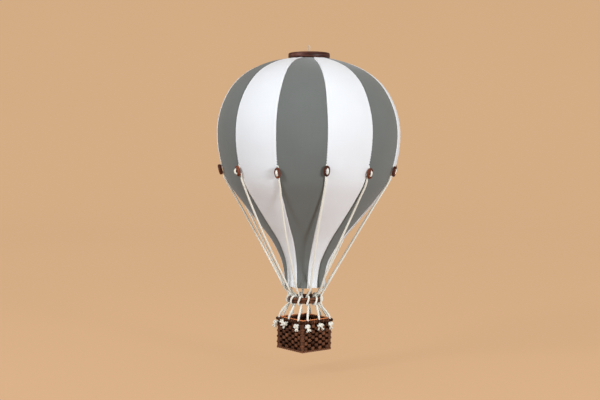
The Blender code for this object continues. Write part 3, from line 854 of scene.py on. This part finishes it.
def rope_points(index):
    """Points of one rope with its radius at each: out of the seam, behind the toggle's bar and
    through its hole in a bow, down the cloth, in a long span, a turn round the hoop, and down
    to the rim. With s the share of its drop to the power 0.8, the span stands out and to one
    side by sin(pi s), and low down to one side by sin(pi s^3)."""
    angle = index * SEAM_STEP
    centre, facing, rising, _ = toggle_frame(index)
    bow = BOWS[index]
    above = [
        (10.6, -4.7, 0.65), (9.4, -4.3, 0.65), (7.4, -3.8, 0.65), (5.4, -3.3, 0.8),
        (4.4, -1.8, 0.92), (4.0, 0.0, 0.95), (3.6, 0.5 * bow, 1.0), (2.1, 0.88 * bow, 1.0),
    ]
    below = [(-up, out, size) for up, out, size in reversed(above[2:])]
    points = [
        (*(centre + rising * up + facing * out), ROPE_RADIUS * size)
        for up, out, size in above + [(0.0, bow, 1.0)] + below
    ]
    offset = ROPE_RADIUS + ROPE_TO_CLOTH
    hem_depth = ENVELOPE_PROFILE[-1][0] + offset * math.sin(ROPE_SLANT)
    hem_radius = ENVELOPE_PROFILE[-1][1] + offset * math.cos(ROPE_SLANT) + HEM_OUT[index]
    leaves = taut_depth(hem_depth, hem_radius, offset)
    first = TOGGLE_DEPTH + TOGGLE_SHIFTS[index] + 0.65 * TOGGLE_HEIGHT
    depth, radius, normal_depth, normal_radius = cloth_at(run_at_depth(np.linspace(first, leaves, 3)))
    turned = angle + TOGGLE_TURN * np.linspace(1, 0.4, 3)
    down = place(depth + normal_depth * offset, radius + normal_radius * offset, turned)
    hem = place(hem_depth, hem_radius, angle, HEM_SIDEWAYS[index])
    share = np.array([0.1, 0.22, 0.35, 0.5, 0.65, 0.8, 0.92])[:, None]
    span = np.vstack([down, down[-1] + (hem - down[-1]) * share, hem])
    share = np.clip(((span[0, 2] - span[:, 2:]) / (span[0, 2] - hem[2])) ** 0.8, 0, 1)
    aside = heading(angle + math.pi / 2)
    swing = heading(angle) * SPAN_OUT[index] + aside * SPAN_SIDEWAYS[index]
    span = span + swing * np.sin(math.pi * share)
    span = span + aside * SPAN_LOW.get(index, 0) * np.sin(math.pi * share**3)
    points += [(*spot, ROPE_RADIUS) for spot in span]
    beside = CANE_RADIUS + ROPE_RADIUS - 0.2
    corner = beside * math.tan(math.pi / 8)
    over = CANE_SPACING / 2 + beside
    level = CANE_SPACING / 2 + corner
    arrives = HOOP_ARRIVES[index]
    last = -beside + HOOP_LEAVES[index]
    turn = [
        (-beside, level, arrives), (-beside, -level, -2.0), (-corner, -over, -1.95),
        (corner, -over, -1.8), (beside, -level, -1.3), (beside, level, 1.3),
        (corner, over, 1.8), (-corner, over, 1.95), (-beside, level, 2.0),
        (-beside, -0.4 * level, 2.0), (last, -level - 0.35 * min(HOOP_LEAVES[index], 4), 2.1),
    ]
    points += [
        (*place(HOOP_DEPTH - up, HOOP_MIDDLE + HOOP_WAYS[index] * out, angle, sideways), ROPE_RADIUS)
        for out, up, sideways in turn
    ]
    side, along = rim_seat(index)
    points.append((*at_basket(side, 32.2, along, RIM_DEPTH), ROPE_RADIUS))
    points.append((*at_basket(side, 32.6, along, RIM_DEPTH + RIM_HEIGHT / 2), 0.9 * ROPE_RADIUS))
    return points


def knot_points(index):
    """The rope's overhand knot under the rim, an opened trefoil lying level: along the side
    k (sin t + 2 sin 2t), out k (cos t - 2 cos 2t), down m sin 3t, open toward the wall."""
    side, along = rim_seat(index)
    shift = KNOT_SHIFTS[index]
    t = np.linspace(math.pi + 0.35, 3 * math.pi - 0.35, 44)
    k = KNOT_TURNS
    lateral = along + shift + k * (np.sin(t) + 2 * np.sin(2 * t))
    out = KNOT_OUT + k * (np.cos(t) - 2 * np.cos(2 * t))
    down = RIM_DEPTH + KNOT_DOWN + KNOT_RISE * np.sin(3 * t)
    knot = at_basket(side, out, lateral, down)
    path = [(*at_basket(side, 33.2, along + 0.12 * shift, RIM_DEPTH + 5.4), 0.9 * ROPE_RADIUS)]
    path += [(*spot, KNOT_ROPE) for spot in knot]
    return path


def lay_rope(skin, points):
    """Three strands laid up: the outline's lobes turn once in each lay along the path."""
    route = curve_through(points, 14)
    length = run_along(route[:, :3])[-1]
    route = evenly(route, int(length / ROPE_STEP))
    path = route[:, :3]
    _, across, up = carried(path)
    turn = run_along(path)[:, None] * TURN / ROPE_LAY + TURN * np.arange(18)[None] / 18
    size = route[:, 3:] * STRAND_OUTLINE[None]
    grid = sweep(path, across, up, (size * np.cos(turn), size * np.sin(turn)))
    # the tone runs from 0 in a groove to 1 on a crest, for the rope's painted shade and painted
    # highlight
    skin.add(grid, (STRAND_OUTLINE - GROOVE_SIZE) / (1 - GROOVE_SIZE))


def add_hairs(skin, path, draw):
    """Loose fibres at a strand's end: tapered five-sided tubes, each bent to one side by the
    square of its share of length."""
    ways = unit(unit(path[-1] - path[-4]) + draw.normal(0, 0.30, (HAIRS, 3)))
    roots = path[-3] + draw.normal(0, 0.55, (HAIRS, 3))
    lengths = draw.uniform(1.0, 2.3, HAIRS)[:, None, None]
    bend = draw.normal(0, 0.35, (HAIRS, 3))[:, None]
    steps = np.linspace(0, 1, 4)[:, None]
    spine = roots[:, None] + ways[:, None] * (lengths * steps) + bend * steps**2
    a = unit(np.cross(ways, (0.2, 0.9, 0.4)))
    b = np.cross(ways, a)
    corner = TURN * np.arange(5)[:, None] / 5
    ring = a[:, None, None] * np.cos(corner) + b[:, None, None] * np.sin(corner)
    width = np.interp(steps, [0, 0.7, 1], [0.34, 0.28, 0.08])[..., None]
    # a high tone, so the loose fibres get the rope's painted highlight
    skin.add(spine[:, :, None] + ring * width, 0.9)


def fray(skin, start, way, strands, splay, draw):
    """A frayed end: strands that bend apart from one place, each ending in loose fibres."""
    reach = np.linalg.norm(way)
    ahead = way / reach
    side = unit(np.cross(ahead, (0.31, -0.42, 0.21)))
    other = np.cross(ahead, side)
    several = strands > 1
    for turn in TURN * (np.arange(strands) / strands + draw.random()):
        apart = side * math.cos(turn) + other * math.sin(turn)
        spread = several * reach * math.tan(splay) * (0.75 + 0.5 * draw.random())
        middle = start + way * 0.45 + apart * 0.6 * several + draw.normal(0, 0.25, 3)
        path = evenly(curve_through([start, middle, start + way + apart * spread], 10), 12)
        radius = FRAY_RADIUS * np.interp(np.arange(12), [0, 4, 9, 11], [0.9, 0.95, 1.05, 0.7])
        # a high tone, so the frayed strands get the rope's painted highlight
        skin.add(round_tube(path, radius, 10), 0.85)
        add_hairs(skin, path, draw)


def make_rope(index):
    """One rope with its knot and frayed ends. The ends that go down leave from behind it."""
    draw = np.random.default_rng(40 + index)
    side, along = rim_seat(index)
    along = along + KNOT_SHIFTS[index]
    depth = RIM_DEPTH + KNOT_DOWN
    skin = Skin()
    last = at_basket(side, KNOT_OUT - 2.2 * KNOT_TURNS, along - 0.1, depth + KNOT_RISE + 1.2)
    lay_rope(skin, rope_points(index) + knot_points(index) + [(*last, KNOT_ROPE)])
    for (aside, out, down), strands, splay in TAILS.get(index, PLAIN_TAIL):
        start = at_basket(side, KNOT_OUT, along, depth)
        if down > 5:
            start = at_basket(side, KNOT_OUT - 1.4 * KNOT_TURNS, along + 0.4 * aside, depth + 2.2)
        end = at_basket(side, KNOT_OUT + out, along + aside, depth + down)
        fray(skin, start, end - start, strands, splay, draw)
    name = f"rope_{index + 1:02d}"
    skin.make(f"{name}_cotton", ROPE, "cotton_rope", [name], 180)


for rope in range(GORES):
    make_rope(rope)


# Hoop

def make_hoop():
    """Two canes bent into rings, one on the other, each a flattened circle that wanders a
    little: in radius by sines of 3 and 7 times the angle, and in height by one of 2 times."""
    half_width = 2.6
    half_height = 2.5
    angle = TURN * np.arange(160) / 160
    outward = heading(angle)
    skin = Skin()
    for number, sign in enumerate((1, -1)):
        wander = 0.12 * np.sin(3 * angle + 2 * number) + 0.07 * np.sin(7 * angle + number)
        lift = 0.07 * np.sin(2 * angle + number)
        path = place(HOOP_DEPTH - sign * half_height - lift, HOOP_MIDDLE + wander, angle)
        thick = 1 + 0.03 * np.sin(5 * angle + 3 * number) + 0.02 * np.sin(13 * angle)
        outline = oval(18, half_width * thick, half_height * thick, 0.9)
        skin.add(sweep(path, outward, UP, outline), 0.60 - 0.25 * number, "loop")
    skin.make("cane_hoop_canes", HOOP_CANE, "hoop_cane", ["cane_hoop"])


make_hoop()


# Basket

CORNERS = [(1, 1), (-1, 1), (-1, -1), (1, -1)]
STAKE_PITCH = 7.95
STAKE_OUT = 29.9
WALL_REACH = 27.6
WEAVE_ROWS = 9
WEAVE_PITCH = 4.7
WEAVE_DEPTH = 2.1
WALL_TOP = RIM_DEPTH + RIM_HEIGHT
WALL_BOTTOM = BASKET_BOTTOM - BASE_HEIGHT
FIRST_ROW = WALL_BOTTOM - 2.4 - (WEAVE_ROWS - 1) * WEAVE_PITCH
RIM_MIDDLE = RIM_DEPTH + RIM_HEIGHT / 2
RIM_STEPS = 600
WRAP_MIDDLE = 31.8
WRAP_PITCH = 5.1
WRAP_TO_ROPE = 2.6
FLOOR_PITCH = 4.25


def make_wall(number):
    """A woven side: flat strands that pass in front of one upright stake and behind the next,
    out by d tanh(2.8 cos(pi a / pitch)) / tanh(2.8) at a place a along the side, broad in
    front and pinched behind, turn about from row to row."""
    side = number - 1
    outward, sideways = side_ways(side)
    draw = np.random.default_rng(100 + number)
    skin = Skin()
    a = np.linspace(-WALL_REACH, WALL_REACH, 120)
    wave = np.tanh(2.8 * np.cos(math.pi * a / STAKE_PITCH)) / math.tanh(2.8)
    for row in range(WEAVE_ROWS):
        lean = wave if row % 2 else -wave
        front = (1 + lean) / 2
        offset = WEAVE_DEPTH * lean + draw.normal(0, 0.08)
        sway = 0.14 * np.sin(a / 7 + draw.uniform(0, TURN)) + 0.14 * draw.normal(0, 1)
        path = at_basket(side, STAKE_OUT + offset, a, FIRST_ROW + row * WEAVE_PITCH + sway)
        across = unit(outward - np.gradient(offset, a)[:, None] * sideways)
        height = (1.7 + 1.15 * front) * (1 + 0.03 * draw.normal())
        outline = oval(14, 0.62 + 0.1 * front, height, 0.55)
        hump = np.interp(a, np.arange(-4, 5) * STAKE_PITCH, draw.normal(0, 0.12, 9))
        # painted shade: the tone falls to 0 where a strand passes behind a stake, so that part is near
        # black; the front humps are a little lighter, with a random tone per stake
        tone = np.clip(0.60 * front**3 + hump * front, 0.0, 0.88)
        skin.add(sweep(path, across, UP, outline), tone[:, None])
    for depth in (WALL_TOP + 0.6, WALL_BOTTOM - 0.3):
        path = at_basket(side, STAKE_OUT, a, depth)
        # the edge bands take a tone near 0, painted shade
        skin.add(sweep(path, outward, UP, oval(8, 0.7, 1.5, 0.7)), 0.08)
    steps = np.linspace(WALL_TOP - 0.6, WALL_BOTTOM + 0.6, 24)
    for stake in np.arange(-3, 4) * STAKE_PITCH:
        sway = 0.15 * np.sin(steps / 5 + stake)
        path = at_basket(side, STAKE_OUT + sway, stake + draw.normal(0, 0.2), steps)
        # the stakes take a tone near 0, painted shade
        skin.add(round_tube(path, 0.95, 8), 0.05 + 0.05 * draw.random())
    name = f"basket_wall_{number}"
    skin.make(f"{name}_weave", WICKER, "wicker", [name])


def corner_bend(radius, sx, sy):
    """A path from one side of the basket round a corner post to the next side, in plan, and
    the directions out of it."""
    c = POST_CENTRE
    spots = [(31.6, 26.6), (32.6, 28.2)]
    arc = np.linspace(0, math.pi / 2, 7)
    spots += [(c + radius * math.cos(t), c + radius * math.sin(t)) for t in arc]
    spots += [(28.2, 32.6), (26.6, 31.6)]
    path = evenly(curve_through(spots, 6), 40)
    way = unit(np.gradient(path, axis=0))
    return path * (sx, sy), stacked(sx * way[:, 1], -sy * way[:, 0], 0.0)


def make_post(number):
    """A corner cane with soft joints in it, strands of every other row bent round it, and
    two narrow splints crossed over its top."""
    sx, sy = CORNERS[number - 1]
    x = sx * POST_CENTRE
    y = sy * POST_CENTRE
    draw = np.random.default_rng(200 + number)
    steps = np.linspace(WALL_TOP + 0.2, WALL_BOTTOM - 0.2, 40)
    joints = draw.uniform(WALL_TOP + 10, WALL_BOTTOM - 4, 2)
    knuckle = sum(np.exp(-(((steps - joint) / 1.1) ** 2)) for joint in joints)
    radius = POST_RADIUS - 0.15 + 0.16 * knuckle + 0.06 * np.sin(steps / 3 + number)
    skin = Skin().add(round_tube(at_basket(0, x, y, steps), radius, 20), 0.58)
    spots, outs = corner_bend(POST_RADIUS + 0.55, sx, sy)
    middle = np.sin(np.linspace(0, math.pi, len(spots)))
    outline = oval(10, 0.55, 2.1 - 0.7 * middle, 0.66)
    for row in range(1, WEAVE_ROWS, 2):
        depth = FIRST_ROW + row * WEAVE_PITCH + 0.14 * draw.normal(0, 1)
        path = at_basket(0, spots[:, 0], spots[:, 1], depth)
        # lighter at the middle of the bend, round the front of the post, as a painted highlight, with a
        # random tone per strand
        tone = 0.5 + 0.06 * draw.normal() + 0.14 * middle
        skin.add(sweep(path, outs, UP, outline), tone[:, None])
    turn = np.linspace(-1.45, 1.45, 26)
    depth = WALL_TOP + 0.9 + 6.2 * (turn / 2.9 + 0.5)
    for sign in (1, -1):
        angle = math.atan2(sy, sx) + turn * sign
        out = heading(angle)
        reach = POST_RADIUS + 0.38 + 0.14 * sign * np.cos(turn)
        path = at_basket(0, x, y, depth) + out * reach[:, None]
        across = unit(np.cross(unit(np.gradient(path, axis=0)), out))
        skin.add(sweep(path, out, across, oval(8, 0.32, 0.95, 0.8)), 0.55)
    name = f"basket_corner_post_{number}"
    skin.make(f"{name}_cane", WICKER, "wicker", [name])


def add_ring(skin, spot, out, depth, outline, tone):
    """A cane that closes on itself round the basket, from its points in plan and ways out."""
    path = at_basket(0, spot[:, 0], spot[:, 1], depth)
    skin.add(sweep(path, out, UP, outline), tone, "loop")


def rope_push(side, along):
    """How near a rope each place on the rim is, from 0 to 1: the sum of exp(-(d / 3.2)^2)."""
    return sum(np.exp(-(((along - rope_place) / 3.2) ** 2)) for rope_place in RIM_PLACES[side])


def rim_ring(half, corner):
    """Points, outward directions, and how near a rope each is, round the rim."""
    spot, out = round_square(np.arange(RIM_STEPS) / RIM_STEPS, half, corner)
    push = np.zeros(RIM_STEPS)
    for side in range(4):
        outward, sideways = side_ways(side)
        push = np.where(out @ outward > 0.95, rope_push(side, spot @ sideways), push)
    return spot, out, push


def make_rim():
    """Two square rings of cane, pushed apart where a rope passes between them, with a cane
    lying on the inner one that is coloured bright as a painted highlight, and a narrow splint
    wrapped round both at a slant."""
    skin = Skin()
    for half, corner, push_by, waver, up, outline, tone in (
        (30.1, 2.0, -1.2, 0.10, 0.0, oval(12, 1.75, 2.3, 0.85), 0.35),
        (33.6, 1.1, 1.3, 0.10, 0.0, oval(12, 1.7, 2.3, 0.85), 0.18),
        # the cane on top takes tone 1.0, the wicker's painted highlight
        (29.9, 1.8, -1.2, 0.0, 3.0, oval(10, 1.4, 0.95, 0.9), 1.0),
    ):
        spot, out, push = rim_ring(half, corner)
        wander = waver * np.sin(np.arange(RIM_STEPS) * TURN * 9 / RIM_STEPS + half)
        spot = spot + out * (push_by * push + wander)[:, None]
        add_ring(skin, spot, out, RIM_MIDDLE - up, outline, tone)
    turn = TURN * np.arange(28) / 28
    wide, high = signed_powers(turn, 0.6)
    for side in range(4):
        _, sideways = side_ways(side)
        for wrap in np.arange(-29.0, 29.5, WRAP_PITCH):
            if min(abs(wrap - rope_place) for rope_place in RIM_PLACES[side]) < WRAP_TO_ROPE:
                continue
            out = WRAP_MIDDLE + (3.95 + 1.2 * rope_push(side, wrap)) * wide
            path = at_basket(side, out, wrap + 0.85 * np.sin(turn), RIM_MIDDLE - 2.75 * high)
            along = unit(np.roll(path, -1, axis=0) - np.roll(path, 1, axis=0))
            normal = unit(np.cross(along, sideways))
            flat = unit(np.cross(normal, along))
            skin.add(sweep(path, normal, flat, oval(8, 0.35, 1.0, 0.8)), 0.52, "loop")
    skin.make("basket_rim_canes", WICKER, "wicker", ["basket_rim"])


def make_border():
    """The base border: two canes twisted together round the square, offset from its path by
    the cosine and sine of the twist, beside one plain cane."""
    twists = 26
    offset = 0.7
    skin = Skin()
    share = np.arange(520) / 520
    depth = BASKET_BOTTOM - BASE_HEIGHT / 2 + 0.1
    spot, out = round_square(share, 32.1, 0.7)
    for start, tone in ((0, 0.64), (math.pi, 0.72)):
        turn = TURN * share * twists + start
        around = spot + out * (offset * np.cos(turn))[:, None]
        add_ring(skin, around, out, depth - offset * np.sin(turn), oval(10, 1.2, 1.2), tone)
    spot, out = round_square(share, 28.0, 2.2)
    add_ring(skin, spot, out, depth, oval(10, 1.5, 1.5), 0.3)
    skin.make("basket_border_canes", WICKER, "wicker", ["basket_base_border"])


def make_floor():
    """The basket's floor in plain weave: flat strands both ways, each over and under the
    next by 0.55 cos(pi a / pitch)."""
    skin = Skin()
    draw = np.random.default_rng(300)
    a = np.linspace(-27.2, 27.2, 78)
    for way in (0, 1):
        flat, sideways = side_ways(way)
        for number in range(-6, 7):
            sign = 1 if (number + way) % 2 else -1
            lift = 0.55 * sign * np.cos(math.pi * a / FLOOR_PITCH)
            path = at_basket(way, number * FLOOR_PITCH, a, WALL_BOTTOM - 1.6 - lift)
            normal = unit(UP - np.gradient(lift, a)[:, None] * sideways)
            tone = 0.45 + 0.12 * draw.normal()
            skin.add(sweep(path, flat, normal, oval(10, 1.95, 0.45, 0.7)), tone)
    skin.make("basket_floor_weave", WICKER, "wicker", ["basket_floor"])


for wall in range(1, 5):
    make_wall(wall)
for post in range(1, 5):
    make_post(post)
make_rim()
make_border()
make_floor()


# Stage and lights

def make_stage():
    """A round seamless floor that rises into a wall: level, a quarter circle, then upright."""
    floor = -552.0
    level_to = 3400.0
    bend_by = 1600.0
    wall_to = 4200.0
    flat = np.linspace(40, level_to, 14)
    bend = np.linspace(0, math.pi / 2, 20)[1:]
    radius = np.concatenate([flat, level_to + bend_by * np.sin(bend), [level_to + bend_by]])[:, None]
    height = np.concatenate([0 * flat, bend_by * (1 - np.cos(bend)), [wall_to]])[:, None]
    angle = TURN * np.arange(96) / 96
    grid = stacked(radius * np.cos(angle), radius * np.sin(angle), floor + height)
    stage = Skin().add(grid, 0.5, "first").make("backdrop", stage_finish(), sharp=40)
    stage.visible_diffuse = False
    stage.visible_glossy = False
    stage.visible_shadow = False


def add_softbox(name, azimuth, elevation, power, colour):
    """A softbox, at an azimuth to the right of the camera's line and an elevation."""
    distance = 2.2
    aim = Vector((0, 0, -0.2))
    toward = math.atan2(TOWARD_CAMERA[1], TOWARD_CAMERA[0]) + math.radians(azimuth)
    rise = math.radians(elevation)
    way = Vector(heading(toward) * math.cos(rise) + UP * math.sin(rise))
    data = bpy.data.lights.new(name, "AREA")
    data.shape = "RECTANGLE"
    data.size = 0.4
    data.size_y = 0.5
    data.energy = power
    data.color = colour
    lamp = bpy.data.objects.new(name, data)
    bpy.context.scene.collection.objects.link(lamp)
    lamp.location = aim + way * distance
    lamp.rotation_euler = (-way).to_track_quat("-Z", "Y").to_euler()
    lamp.visible_camera = False


def add_world():
    """Soft light from round about: cool from the sides, warm from the floor and a little from
    above, and the backdrop's own tan from behind."""
    from_below = (0.44, 0.14, 0.04)
    from_above = (0.90, 0.76, 0.67)
    from_behind = (0.33, 0.235, 0.155)
    between = [
        (-0.6, (0.50, 0.36, 0.24)), (-0.3, (0.60, 0.57, 0.51)), (0.0, (0.57, 0.67, 0.69)),
        (0.35, (0.54, 0.60, 0.60)),
    ]
    world = bpy.data.worlds.new("studio")
    nodes = Nodes(world)
    way = nodes.node("TexCoord").outputs["Generated"]
    height = nodes.spread(nodes.node("SeparateXYZ", {0: way}).outputs[2], -1.0, 1.0)
    shades = nodes.node("ValToRGB", {"Fac": height})
    stops = shades.color_ramp.elements
    stops[0].color = (*from_below, 1)
    stops[1].color = (*from_above, 1)
    for rise, colour in between:
        stops.new((rise + 1) / 2).color = (*colour, 1)
    facing = nodes.node("VectorMath", {0: way, 1: (*TOWARD_CAMERA, 0)}, operation="DOT_PRODUCT")
    front = nodes.spread(facing.outputs["Value"], -0.9, 0.1)
    ground = nodes.tree.nodes["Background"]
    nodes.tree.links.new(nodes.mix(front, from_behind, shades.outputs["Color"]), ground.inputs["Color"])
    ground.inputs["Strength"].default_value = 0.90
    bpy.context.scene.world = world
    bpy.context.scene.view_settings.view_transform = "Standard"


make_stage()
add_softbox("left_softbox", -54, 24, 22, (0.84, 0.90, 1.0))
add_softbox("right_softbox", 40, 5, 26, (0.89, 0.93, 1.0))
add_world()
